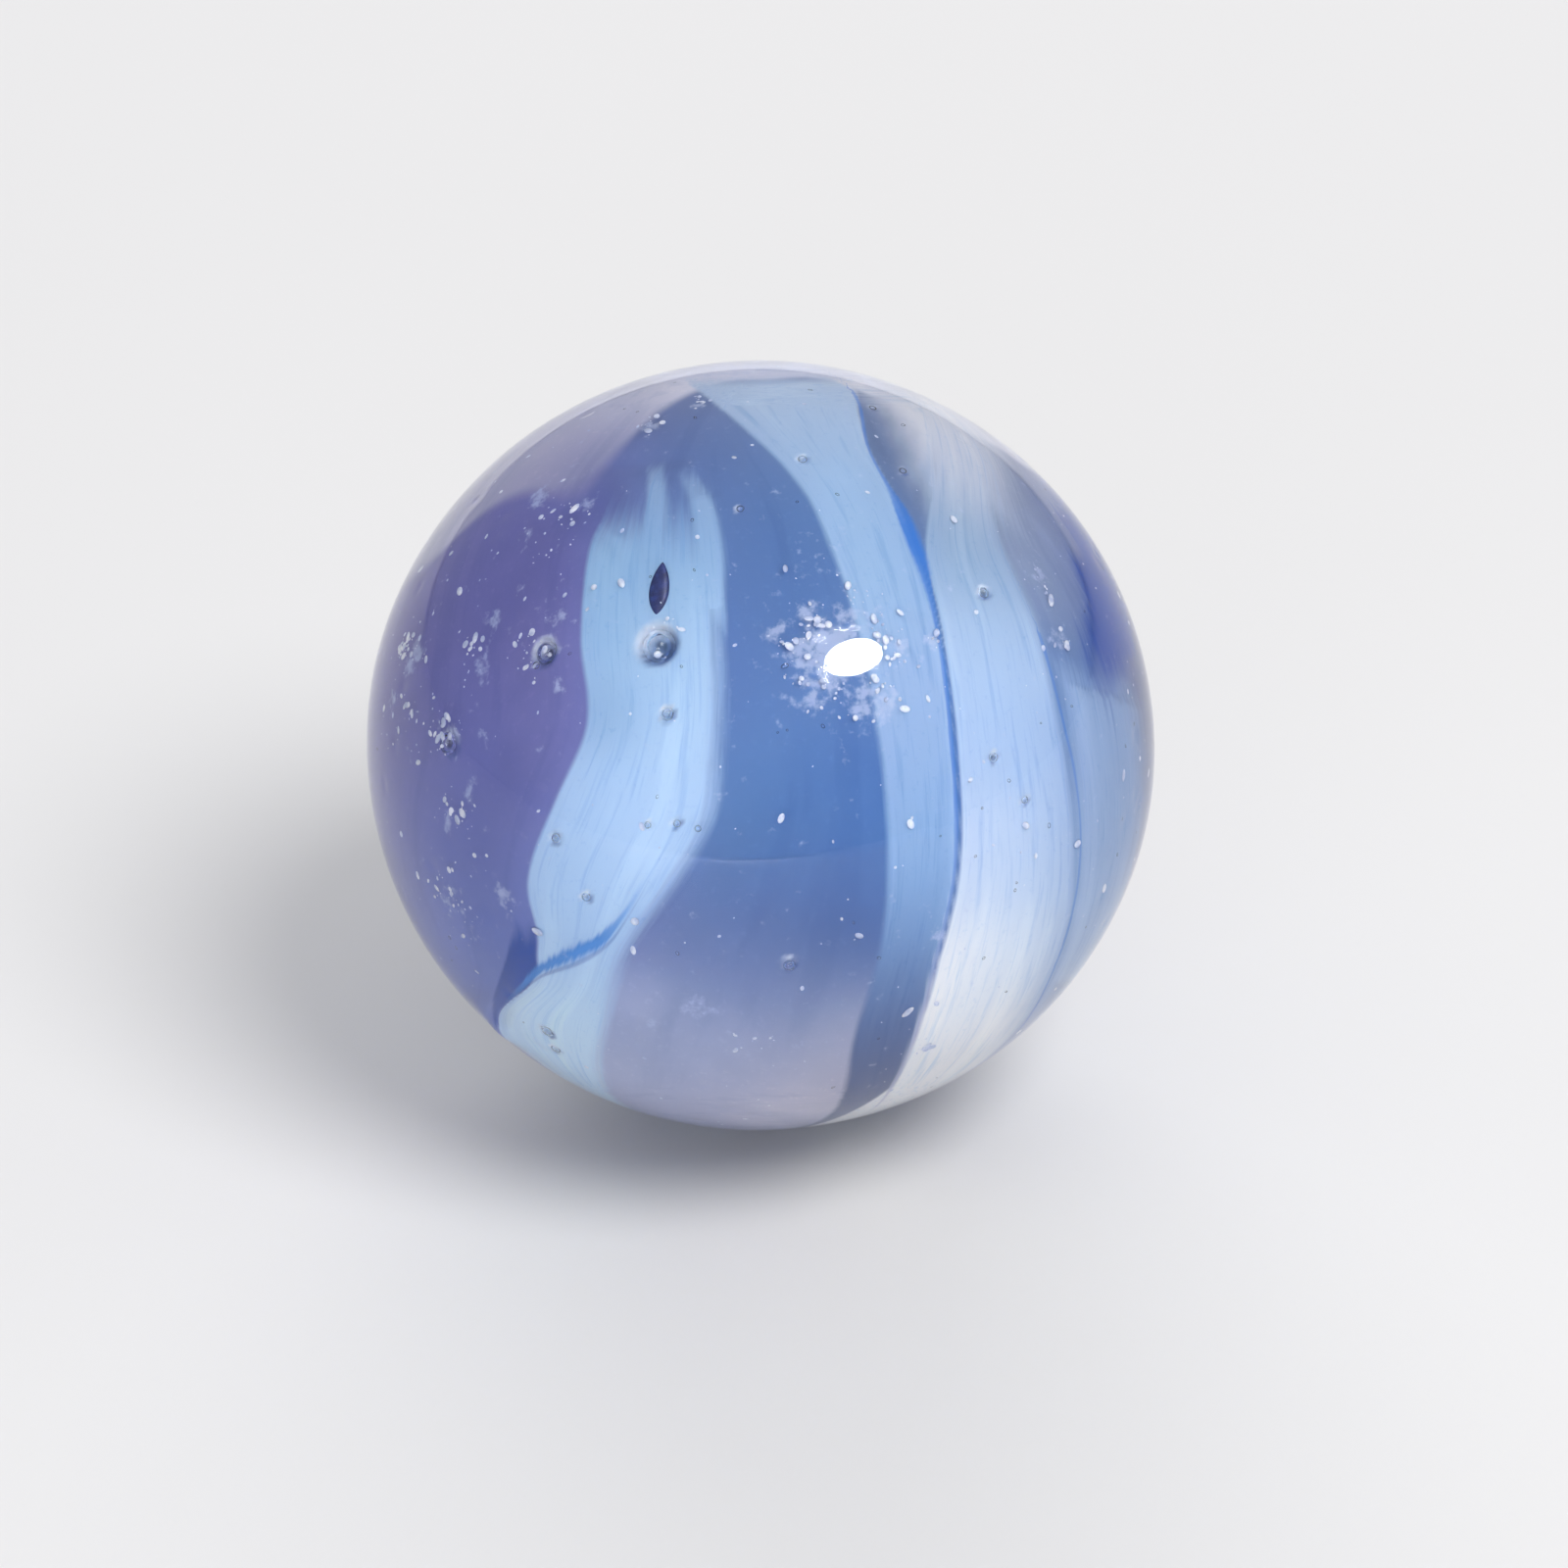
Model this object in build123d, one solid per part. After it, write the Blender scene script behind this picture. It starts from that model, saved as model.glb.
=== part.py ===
from build123d import *
import os

# A machine-made glass playing marble: one solid ball of fused soda-lime glass.
# Streams of clear blue and opaque pale blue glass are sheared into a gob, and the
# gob is rounded while soft by spinning rollers. The colours are fused into a single
# piece, so the ball is one solid, with no core, shell or joint.
#
# The rollers leave it slightly flattened along the axis it last spun about.
# Frame: origin at the ball's centre, +Z along that short axis, sizes in millimetres.

# Driving dimensions
equator_diameter = 16.2  # widest, measured square to the short axis
pole_height = 15.7       # narrowest, from pole to pole along the short axis


def glass_ball(diameter, height):
    """The whole marble: a round ball, pressed from both poles to its short height."""
    round_ball = Sphere(diameter / 2)
    return scale(round_ball, by=(1, 1, height / diameter))


os.makedirs("parts", exist_ok=True)
export_step(glass_ball(equator_diameter, pole_height), "parts/marble.step")
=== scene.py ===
import math
import bpy
import bmesh
import numpy as np
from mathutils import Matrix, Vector


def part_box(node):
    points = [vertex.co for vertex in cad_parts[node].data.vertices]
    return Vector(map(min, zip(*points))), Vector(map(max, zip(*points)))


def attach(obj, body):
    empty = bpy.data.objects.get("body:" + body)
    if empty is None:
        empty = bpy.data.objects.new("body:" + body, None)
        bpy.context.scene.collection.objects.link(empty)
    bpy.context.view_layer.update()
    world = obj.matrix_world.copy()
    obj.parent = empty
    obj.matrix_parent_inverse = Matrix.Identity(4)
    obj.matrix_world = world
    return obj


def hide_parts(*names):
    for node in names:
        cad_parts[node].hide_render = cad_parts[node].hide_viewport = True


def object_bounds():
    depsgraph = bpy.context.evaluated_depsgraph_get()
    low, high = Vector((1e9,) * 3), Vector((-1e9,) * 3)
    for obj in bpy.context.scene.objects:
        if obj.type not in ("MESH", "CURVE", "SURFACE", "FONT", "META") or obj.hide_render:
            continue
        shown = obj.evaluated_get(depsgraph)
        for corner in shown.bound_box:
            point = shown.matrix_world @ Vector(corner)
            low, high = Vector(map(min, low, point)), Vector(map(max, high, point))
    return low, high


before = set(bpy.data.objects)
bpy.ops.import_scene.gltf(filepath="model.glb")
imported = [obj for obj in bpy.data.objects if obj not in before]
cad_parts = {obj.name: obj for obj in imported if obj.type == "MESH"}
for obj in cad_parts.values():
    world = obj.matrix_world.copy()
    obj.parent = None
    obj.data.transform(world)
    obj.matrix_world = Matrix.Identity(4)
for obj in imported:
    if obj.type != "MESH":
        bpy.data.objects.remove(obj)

cadBox = [list(corner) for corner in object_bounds()]
lowCorner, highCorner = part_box("marble")
ballWidth = (highCorner.x - lowCorner.x) / 2   # half the equator, metres
ballHeight = (highCorner.z - lowCorner.z) / 2  # half the short axis
mm = 0.001
degree = math.pi / 180

# The colour streams run between two poles of their own, about an axis that leans back
# from upright. Places on the ball are (latitude, longitude) in degrees about that axis:
# latitude 0 is half way between the poles and longitude 0 faces the front.
streamLean = 30
streamUp = Vector((0, math.sin(streamLean * degree), math.cos(streamLean * degree)))
streamFront = Vector((0, -math.cos(streamLean * degree), math.sin(streamLean * degree)))
streamRight = Vector((1, 0, 0))


def paint(red, green, blue):
    # a colour as a paint mixer writes it, 0 to 255, as the linear light the shaders use
    def linear(level):
        level = level / 255
        return level / 12.92 if level <= 0.04045 else ((level + 0.055) / 1.055) ** 2.4
    return (linear(red), linear(green), linear(blue))


def smoothStep(low, high, value):
    # 0 before low and 1 after high, eased between; low may be the larger
    share = np.clip((value - low) / (high - low), 0, 1)
    return share * share * (3 - 2 * share)


def bellCurve(value, middle, reach):
    # 1 at the middle, falling away smoothly on both sides
    return np.exp(-((value - middle) / reach) ** 2)


def direction(latitude, longitude):
    latitude, longitude = latitude * degree, longitude * degree
    return (streamUp * math.sin(latitude)
            + streamFront * math.cos(latitude) * math.cos(longitude)
            + streamRight * math.cos(latitude) * math.sin(longitude))


def surfacePoint(latitude, longitude, depth=0.0):
    # a point of the ball's skin, or that many millimetres under it
    way = direction(latitude, longitude)
    stretch = math.sqrt((way.x ** 2 + way.y ** 2) / ballWidth ** 2 + way.z ** 2 / ballHeight ** 2)
    return way / stretch - way * depth * mm


def places(directions):
    # latitude and longitude of many directions at once, in degrees
    along = directions @ np.array(streamUp)
    across = directions @ np.array(streamRight)
    front = directions @ np.array(streamFront)
    return np.arcsin(np.clip(along, -1, 1)) / degree, np.arctan2(across, front) / degree


def edgeLine(points):
    # a smooth line from pole to pole: longitude as a function of latitude
    points = sorted(points)
    lats = np.array([p[0] for p in points], float)
    lons = np.array([p[1] for p in points], float)
    slopes = np.gradient(lons, lats)

    def longitudeAt(latitude):
        latitude = np.clip(latitude, lats[0], lats[-1])
        i = np.clip(np.searchsorted(lats, latitude, side="right") - 1, 0, len(lats) - 2)
        gap = lats[i + 1] - lats[i]
        t = (latitude - lats[i]) / gap
        return ((2 * t ** 3 - 3 * t ** 2 + 1) * lons[i] + (t ** 3 - 2 * t ** 2 + t) * gap * slopes[i]
                + (3 * t ** 2 - 2 * t ** 3) * lons[i + 1] + (t ** 3 - t ** 2) * gap * slopes[i + 1])
    return longitudeAt


# the ball's even grid of points, which the skin and the streams both start from
def roundGrid(cells):
    # six square patches bent over the ball and joined, with no crowded poles
    steps = np.tan(np.linspace(-math.pi / 4, math.pi / 4, cells + 1))
    a, b = np.meshgrid(steps, steps, indexing="ij")
    one = np.ones_like(a)
    patches = [(one, a, b), (-one, b, a), (b, one, a), (a, -one, b), (a, b, one), (b, a, -one)]
    points, quads = [], []
    for number, patch in enumerate(patches):
        points.append(np.stack([side.ravel() for side in patch], 1))
        row = np.arange(cells)
        i, j = np.meshgrid(row, row, indexing="ij")
        first = (i * (cells + 1) + j).ravel() + number * (cells + 1) ** 2
        quads.append(np.stack([first, first + cells + 1, first + cells + 2, first + 1], 1))
    points, quads = np.concatenate(points), np.concatenate(quads)
    points /= np.linalg.norm(points, axis=1)[:, None]
    whole, place = np.unique(np.round(points, 7), axis=0, return_inverse=True)
    return whole / np.linalg.norm(whole, axis=1)[:, None], place.ravel()[quads]


def skinRadius(directions):
    flat = (directions[:, 0] ** 2 + directions[:, 1] ** 2) / ballWidth ** 2
    return 1 / np.sqrt(flat + directions[:, 2] ** 2 / ballHeight ** 2)


def makePiece(name, points, faces, material):
    mesh = bpy.data.meshes.new(name)
    mesh.from_pydata(points.tolist(), [], faces.tolist())
    mesh.polygons.foreach_set("use_smooth", np.ones(len(mesh.polygons), bool))
    mesh.materials.append(material)
    mesh.update()
    piece = bpy.data.objects.new(name, mesh)
    bpy.context.collection.objects.link(piece)
    return piece


def keep(mesh, name, values):
    # store a number, or three, at every point of a mesh for its material to read
    kind = "FLOAT" if values.ndim == 1 else "FLOAT_VECTOR"
    layer = mesh.attributes.new(name, kind, "POINT")
    layer.data.foreach_set("value" if values.ndim == 1 else "vector", values.astype(np.float32).ravel())


def soften(directions, scale, seed):
    # a gentle unevenness from -1 to 1 over the ball, made of a few dozen crossing waves
    rng = np.random.default_rng(seed)
    total = np.zeros(len(directions))
    waves = 24
    for _ in range(waves):
        way = rng.normal(size=3) * scale
        total += np.sin(directions @ way + rng.uniform(0, 2 * math.pi))
    return total / math.sqrt(waves / 2)


# colour streams: opaque pale blue glass and the deeper clear blue between it
# Each edge is a few (latitude, longitude) points. Soft is how far the colour takes to
# fade at that edge and dive how far the stream takes to sink from the skin, in mm.
streams = {
    "leftRibbon": {
        "west": [(75, -30), (50, -28), (30, -29), (15, -27), (2, -25), (-8, -30), (-20, -37),
                 (-30, -39), (-37, -46), (-44, -67), (-56, -76), (-75, -90)],
        "east": [(75, -4), (45, -12), (30, -8), (14, -6), (0, -6), (-10, -7), (-20, -13),
                 (-30, -22), (-45, -33), (-60, -52), (-75, -80)],
        "westSoft": 0.07, "eastSoft": 0.3, "westDive": 1.3, "eastDive": 1.2,
        "span": (-90, -85, 24, 46)},
    "strandWest": {
        "west": [(54, -26), (47, -24.5), (40, -21.5), (30, -20), (18, -19)],
        "east": [(54, -24), (47, -22), (40, -18), (30, -15.5), (18, -14)],
        "westSoft": 0.1, "eastSoft": 0.14, "westDive": 0.7, "eastDive": 0.7,
        "span": (12, 24, 42, 52), "strength": 0.8},
    "strandEast": {
        "west": [(54, -20), (45, -17), (37, -12.5), (31, -11), (18, -10)],
        "east": [(54, -18), (45, -14), (37, -8.5), (31, -6.5), (18, -5)],
        "westSoft": 0.14, "eastSoft": 0.1, "westDive": 0.7, "eastDive": 0.7,
        "span": (12, 24, 38, 50), "strength": 0.8},
    "middleRibbon": {
        "west": [(75, -45), (62, -16), (50, 0), (40, 8), (28, 12), (14, 15), (0, 17), (-15, 19),
                 (-30, 20), (-48, 20), (-75, 34)],
        "east": [(75, 50), (60, 30), (50, 25), (35, 26), (19, 27), (0, 28), (-18, 30), (-36, 31),
                 (-50, 35), (-60, 41), (-75, 60)],
        "westSoft": 0.1, "eastSoft": 0.06, "westDive": 1.3, "eastDive": 0.5,
        "span": (-88, -80, 62, 82)},
    "rightRibbon": {
        "west": [(75, 80), (50, 42), (38, 33), (28, 28), (19, 28), (0, 29), (-18, 31), (-36, 32),
                 (-50, 36), (-60, 42), (-75, 61)],
        "east": [(75, 95), (50, 60), (33, 45), (16, 46), (0, 48), (-12, 52), (-25, 58), (-40, 66),
                 (-55, 76), (-75, 100)],
        "westSoft": 0.06, "eastSoft": 0.22, "westDive": 0.5, "eastDive": 1.0,
        "span": (-84, -76, 34, 58)},
    "topHaze": {
        "west": [(80, 20), (66, 38), (50, 36), (38, 33), (26, 36)],
        "east": [(80, 110), (66, 86), (50, 66), (38, 52), (26, 47)],
        "westSoft": 0.7, "eastSoft": 0.9, "westDive": 0.9, "eastDive": 0.9,
        "span": (22, 40, 62, 80), "strength": 0.82},
    "rightVeil": {
        "west": [(30, 48), (5, 50), (-12, 54), (-25, 60), (-45, 72)],
        "east": [(30, 56), (5, 69), (-12, 74), (-25, 82), (-45, 95)],
        "westSoft": 0.35, "eastSoft": 0.9, "westDive": 0.6, "eastDive": 0.9,
        "span": (-60, -40, 8, 24), "strength": 0.66},
    "backWest": {
        "west": [(75, -160), (40, -128), (10, -118), (-20, -124), (-50, -140), (-75, -170)],
        "east": [(75, -120), (40, -108), (10, -96), (-20, -106), (-50, -118), (-75, -140)],
        "westSoft": 0.3, "eastSoft": 0.08, "westDive": 0.9, "eastDive": 0.4,
        "span": (-80, -60, 42, 64)},
    "backMiddle": {
        "west": [(75, 130), (40, 152), (10, 160), (-20, 150), (-50, 140), (-75, 120)],
        "east": [(75, 190), (40, 182), (10, 186), (-20, 178), (-50, 166), (-75, 150)],
        "westSoft": 0.08, "eastSoft": 0.3, "westDive": 0.4, "eastDive": 0.9,
        "span": (-80, -70, 60, 76)},
    "backStrand": {
        "west": [(75, -165), (60, -154), (20, -147), (-20, -153), (-60, -168), (-75, -175)],
        "east": [(75, -155), (60, -149), (20, -141), (-20, -146), (-60, -158), (-75, -165)],
        "westSoft": 0.25, "eastSoft": 0.12, "westDive": 0.8, "eastDive": 0.8,
        "span": (-70, -40, 30, 66), "strength": 0.86},
    "backEast": {
        "west": [(75, 96), (40, 92), (10, 104), (-20, 110), (-50, 108), (-75, 104)],
        "east": [(75, 120), (40, 116), (10, 124), (-20, 128), (-50, 124), (-75, 116)],
        "westSoft": 0.25, "eastSoft": 0.07, "westDive": 0.7, "eastDive": 0.4,
        "span": (-62, -44, 66, 82)},
}

streamBody = {"cells": 126, "ribbonDepth": 0.13, "clearDepth": 0.42, "clearSwell": 0.08,
              "foldDepth": 0.1, "ragged": 3.5, "backSeam": 142, "seed": 11}

# colours painted between the ribbons: the clear glass's blue and violet tint with painted light and shade, a
# pale glow low on the ball and shade at the right edge; place, colour, reach in degrees
clearTintsAndGlow = [
    (10, -62, paint(132, 124, 186), 22), (0, -42, paint(126, 128, 186), 18),
    (30, -45, paint(106, 108, 174), 14), (-25, -55, paint(104, 134, 206), 16),
    (56, -12, paint(112, 128, 172), 11), (44, -4, paint(104, 138, 188), 12),
    (24, 4, paint(88, 126, 180), 13), (4, 4, paint(98, 134, 190), 12),
    (-8, 14, paint(70, 118, 184), 8), (-24, 15, paint(64, 102, 168), 7), (-20, 4, paint(84, 120, 176), 12),
    # paler towards the bottom: painted glow of light passing through the glass
    (-33, 0, paint(106, 128, 178), 8), (-45, 0, paint(156, 170, 202), 10),
    (-62, 2, paint(212, 206, 220), 13), (-52, -20, paint(186, 198, 226), 10),
    (-8, -2, paint(100, 144, 194), 7), (50, 32, paint(104, 122, 158), 9),
    (38, 54, paint(146, 156, 178), 10), (26, 55, paint(160, 176, 206), 6),
    (36, 62, paint(160, 172, 200), 6),
    (26, 72, paint(52, 86, 158), 8), (4, 60, paint(116, 148, 194), 10),
    # darkest at the right edge: painted shade
    (-20, 68, paint(140, 172, 212), 13), (8, 84, paint(40, 34, 92), 11), (-16, 88, paint(96, 106, 160), 9),
    (0, 112, paint(116, 136, 198), 26), (20, 146, paint(124, 124, 190), 24),
    (12, -172, paint(90, 136, 198), 14), (-24, -168, paint(84, 124, 190), 14),
    (0, -138, paint(112, 126, 194), 14),
    (-38, -145, paint(150, 168, 214), 11), (-48, 178, paint(156, 172, 212), 12),
    (0, -96, paint(126, 122, 188), 22), (-75, 150, paint(168, 178, 212), 22),
    (48, -130, paint(120, 132, 190), 20), (46, 170, paint(124, 130, 188), 20),
]

# colours of the milky cap around the upper pole, near white at the top with painted top light and rim
# reflection, and the line where it stops
capTintsAndTopLight = [
    (44, -48, paint(158, 154, 186), 8), (48, -34, paint(134, 138, 180), 6),
    (72, -22, paint(222, 220, 230), 8), (52, -62, paint(205, 196, 212), 10),
    (44, -82, paint(202, 196, 214), 9),
    # near white around the top: painted light and reflection
    (64, -40, paint(208, 204, 218), 9), (74, -15, paint(248, 244, 250), 12),
    (80, 30, paint(255, 252, 255), 14),
    (66, 56, paint(244, 240, 246), 12), (54, 80, paint(190, 192, 212), 12),
    (60, 150, paint(184, 192, 222), 22),
    (66, -130, paint(176, 182, 216), 22),
]
capLine = [(-180, 66), (-150, 60), (-120, 52), (-90, 26), (-71, 29), (-63, 36.5), (-57, 39.5), (-51, 41),
           (-43, 41),
           (-38, 43), (-34, 49), (-30, 58), (-25, 65), (-18, 69), (4, 71), (29, 70.5), (42, 63), (52, 57),
           (66, 50),
           (84, 44), (110, 50), (140, 60), (180, 66)]

# colours of the opaque ribbons west of the seam, and of those east of it, near white towards the bottom with
# painted light
ribbonTintsAndLowLight = [
    (24, -22, paint(150, 188, 222), 11), (12, -22, paint(168, 204, 236), 9),
    (8, -10, paint(200, 224, 246), 9), (-10, -18, paint(196, 222, 250), 11),
    # palest low on the left ribbon: painted light on the lower part
    (-22, -30, paint(184, 214, 244), 11), (-50, -48, paint(214, 238, 255), 12),
    (4, -21.5, paint(140, 176, 212), 3.5),
    (44, -20, paint(146, 174, 208), 9), (0, 22, paint(166, 192, 226), 9),
    (-14, 24, paint(152, 188, 226), 9), (40, 16, paint(166, 196, 226), 14),
    (62, 8, paint(190, 206, 226), 12), (-26, 25, paint(122, 158, 204), 7),
    (-37, 26, paint(108, 138, 186), 6), (-46, 26, paint(92, 116, 166), 7),
    (-56, 30, paint(86, 104, 152), 8), (-68, 36, paint(88, 104, 150), 8),
    (0, -110, paint(190, 216, 248), 30), (0, -150, paint(214, 230, 252), 16),
    (0, 172, paint(184, 212, 246), 18),
    (-30, 163, paint(244, 248, 255), 13), (34, 170, paint(206, 222, 246), 12),
    (-34, -118, paint(226, 238, 255), 12),
]
eastTintsAndLowLight = [
    (30, 35, paint(150, 178, 206), 8), (14, 35, paint(188, 210, 234), 8),
    (2, 38, paint(188, 212, 242), 9), (-16, 42, paint(198, 218, 243), 9),
    (-16, 33, paint(214, 226, 244), 6),
    # near white low on the ribbon: painted light on the lower part
    (-34, 43, paint(238, 246, 253), 9), (-34, 34, paint(252, 250, 250), 6),
    (-50, 48, paint(255, 253, 252), 9),
    (-62, 60, paint(255, 253, 252), 10), (46, 48, paint(204, 210, 224), 10),
    (62, 60, paint(222, 222, 228), 12),
    (-4, 66, paint(132, 162, 202), 12), (-28, 72, paint(160, 186, 220), 12),
    (0, 115, paint(186, 212, 248), 26),
]


def blendTints(latitude, longitude, tints):
    # each placed colour counts most near its own place
    here = np.stack([np.sin(latitude * degree),
                     np.cos(latitude * degree) * np.cos(longitude * degree),
                     np.cos(latitude * degree) * np.sin(longitude * degree)], 1)
    total, mixed = np.full(len(here), 1e-9), np.zeros((len(here), 3))
    for lat, lon, colour, reach in tints:
        there = np.array([math.sin(lat * degree), math.cos(lat * degree) * math.cos(lon * degree),
                          math.cos(lat * degree) * math.sin(lon * degree)])
        away = np.arccos(np.clip(here @ there, -1, 1)) / degree
        weight = np.exp(-0.5 * (away / reach) ** 2) + 1e-6 / (1 + away)
        total += weight
        mixed += weight[:, None] * np.array(colour)
    return mixed / total[:, None]


def degreesAway(directions, latitude, longitude):
    return np.linalg.norm(directions - np.array(direction(latitude, longitude)), axis=1) / degree


def spread(directions, spots, least=0.0):
    # the strongest of many placed spots at each point, never under the least
    strongest = np.full(len(directions), least)
    for latitude, longitude, reach, amount in spots:
        away = degreesAway(directions, latitude, longitude)
        strongest = np.maximum(strongest, amount * bellCurve(away, 0, reach))
    return strongest


def ribbonFields(latitude, longitude, uneven):
    # how far inside a ribbon each point is, for its colour and for its height
    colourEdge = np.full(len(latitude), -3.0)
    heightEdge = np.full(len(latitude), -3.0)
    for stream in streams.values():
        west, east = edgeLine(stream["west"]), edgeLine(stream["east"])
        fadeLow, fullLow, fullHigh, fadeHigh = stream["span"]
        ending = latitude + uneven
        fade = smoothStep(fadeLow, fullLow, ending) * (1 - smoothStep(fullHigh, fadeHigh, ending))
        arc = ballWidth / mm * degree * np.cos(latitude * degree)
        middle = (west(latitude) + east(latitude)) / 2
        turned = (longitude - middle + 180) % 360 - 180 + middle
        fromWest, fromEast = (turned - west(latitude)) * arc, (east(latitude) - turned) * arc
        strength = stream.get("strength", 1)
        colour = np.minimum(fromWest / stream["westSoft"], fromEast / stream["eastSoft"])
        height = np.minimum(fromWest / stream["westDive"], fromEast / stream["eastDive"]) + 1.2
        ends = np.where(fade > 0.999, 3, 2.6 * fade - 1.4) + 3.4 * (strength - 1)
        colourEdge = np.maximum(colourEdge, np.minimum(colour, np.minimum(ends, 3)))
        heightEdge = np.maximum(heightEdge, np.minimum(height, ends))
    return np.clip(colourEdge, -3, 3), np.clip(heightEdge, -3, 3)


def flowField(latitude, longitude):
    # a turn about the stream axis that bends with the ribbons' edges, so that streaks
    # drawn along it run the way the molten glass ran
    guides = []
    for name in ("leftRibbon", "middleRibbon", "rightRibbon", "backEast", "backMiddle", "backWest"):
        stream = streams[name]
        for side in ("west", "east"):
            line = edgeLine(stream[side])
            home = float(line(np.array([0.0]))[0])
            bend = (line(latitude) - home + 180) % 360 - 180
            guides.append((home % 360, np.clip(bend, -70, 70)))
    guides.sort(key=lambda guide: guide[0])
    homes = [guide[0] for guide in guides]
    bends = [guide[1] for guide in guides]
    homes = [homes[-1] - 360] + homes + [homes[0] + 360]
    bends = [bends[-1]] + bends + [bends[0]]
    turn = longitude % 360
    flow = turn.copy()
    for i in range(len(homes) - 1):
        low, high = homes[i] + bends[i], homes[i + 1] + bends[i + 1]
        for shift in (-360, 0, 360):
            inside = (turn + shift >= low) & (turn + shift < high)
            share = (turn + shift - low) / np.maximum(high - low, 1e-3)
            flow = np.where(inside, homes[i] + share * (homes[i + 1] - homes[i]), flow)
    flow = flow * degree
    pinch = np.minimum(1, np.cos(latitude * degree) / 0.5)  # keeps the streaks from crowding at the poles
    return np.stack([np.cos(flow) * pinch, np.sin(flow) * pinch, latitude * degree], 1)


def pathDistance(directions, path):
    # signed distance in mm over the skin from each point to a line drawn through a few
    # places, and how far along the line, 0 to 1, its nearest point is
    line = edgeLine([(number, place[0]) for number, place in enumerate(path)])
    turn = edgeLine([(number, place[1]) for number, place in enumerate(path)])
    steps = np.linspace(0, len(path) - 1, 90)
    stops = np.array([direction(lat, lon) for lat, lon in zip(line(steps), turn(steps))])
    runs = np.gradient(stops, axis=0)
    sides = np.cross(runs, stops)
    sides /= np.linalg.norm(sides, axis=1)[:, None]
    nearest, place = np.full(len(directions), 9.0), np.zeros(len(directions), int)
    for number, stop in enumerate(stops):
        away = np.linalg.norm(directions - stop, axis=1)
        closer = away < nearest
        nearest, place = np.where(closer, away, nearest), np.where(closer, number, place)
    across = np.einsum("ij,ij->i", directions - stops[place], sides[place])
    past = np.sqrt(np.maximum(nearest ** 2 - across ** 2, 0))
    past = np.where((place == 0) | (place == len(stops) - 1), past, 0)
    signed = np.where(across < 0, -1, 1) * np.hypot(across, past)
    return signed * ballWidth / mm, place / (len(stops) - 1)


# materials
def newMaterial(name):
    material = bpy.data.materials.new(name)
    material.use_nodes = True
    tree = material.node_tree
    tree.nodes.clear()
    output = tree.nodes.new("ShaderNodeOutputMaterial")
    shader = tree.nodes.new("ShaderNodeBsdfPrincipled")
    tree.links.new(shader.outputs["BSDF"], output.inputs["Surface"])
    return material, tree, shader


def connect(tree, node, inputs):
    # each input is given another node's output or a plain value
    for name, value in inputs.items():
        if isinstance(value, bpy.types.NodeSocket):
            tree.links.new(value, node.inputs[name])
        else:
            node.inputs[name].default_value = value


def addNode(tree, kind, settings=None, inputs=None):
    node = tree.nodes.new(kind)
    for name, value in (settings or {}).items():
        setattr(node, name, value)
    connect(tree, node, inputs or {})
    return node


def mathNode(tree, operation, first, second=0.0, third=None, clamp=False):
    inputs = {0: first, 1: second}
    if third is not None:
        inputs[2] = third
    return addNode(tree, "ShaderNodeMath", {"operation": operation, "use_clamp": clamp}, inputs).outputs[0]


def mixColour(tree, share, first, second, mode="MIX"):
    node = addNode(tree, "ShaderNodeMix", {"data_type": "RGBA", "blend_type": mode, "clamp_result": True})
    for place, value in ((0, share), (6, first), (7, second)):
        if isinstance(value, bpy.types.NodeSocket):
            tree.links.new(value, node.inputs[place])
        else:
            node.inputs[place].default_value = value if place == 0 else (*value, 1)[:4]
    return node.outputs[2]


def readAttribute(tree, name, kind="Fac"):
    node = addNode(tree, "ShaderNodeAttribute", {"attribute_name": name})
    return node.outputs[kind]


def rangeNode(tree, value, fromLow, fromHigh, toLow=0.0, toHigh=1.0):
    node = addNode(tree, "ShaderNodeMapRange", {"interpolation_type": "SMOOTHSTEP"},
                   {"Value": value, "From Min": fromLow, "From Max": fromHigh,
                    "To Min": toLow, "To Max": toHigh})
    return node.outputs["Result"]


def noiseNode(tree, vector, scale, detail=3.0, roughness=0.55):
    node = addNode(tree, "ShaderNodeTexNoise", None,
                   {"Vector": vector, "Scale": scale, "Detail": detail, "Roughness": roughness})
    return node.outputs["Fac"]


def stretched(tree, vector, scale):
    node = addNode(tree, "ShaderNodeMapping", None, {"Vector": vector, "Scale": scale})
    return node.outputs["Vector"]


streamPaint = {
    "lineBlue": paint(58, 128, 212), "foldBlue": paint(72, 148, 222), "deepBlue": paint(28, 80, 170),
    "roughness": 0.45, "shine": 0.1,
    # frost also paints the highlight's glow; the bubble colours are painted shade and painted light
    "frostAndGlow": paint(206, 216, 238), "bubbleShadePaint": paint(52, 84, 152), "bubbleLitPaint": paint(238, 244, 252),
    "milk": (1.16, 1.12, 1.06), "streakBlue": (0.62, 0.76, 0.9), "veil": (1.35, 1.28, 1.16),
    "dusk": (0.8, 0.84, 0.9)}

# washes over each colour: the pattern, where it starts and is full, its strength and tint
clearWashes = [("clouds", 0.45, 0.75, 0.5, "veil"), ("broadStreaks", 0.5, 0.35, 0.5, "dusk"),
               ("dust", 0.55, 0.75, 0.35, "veil")]
ribbonWashes = [("broadStreaks", 0.48, 0.68, 0.75, "milk"), ("fineStreaks", 0.52, 0.7, 0.5, "streakBlue"),
                ("hairStreaks", 0.56, 0.7, 0.35, "streakBlue"), ("dust", 0.42, 0.28, 0.3, "streakBlue")]


def wash(tree, colour, patterns, washes):
    for pattern, low, full, most, tint in washes:
        share = rangeNode(tree, patterns[pattern], low, full, 0, most)
        colour = mixColour(tree, share, colour, streamPaint[tint], "MULTIPLY")
    return colour


def centred(tree, pattern, reach):
    # a pattern of 0 to 1 turned into a push either way
    return mathNode(tree, "MULTIPLY", mathNode(tree, "SUBTRACT", pattern, 0.5), reach)


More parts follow.
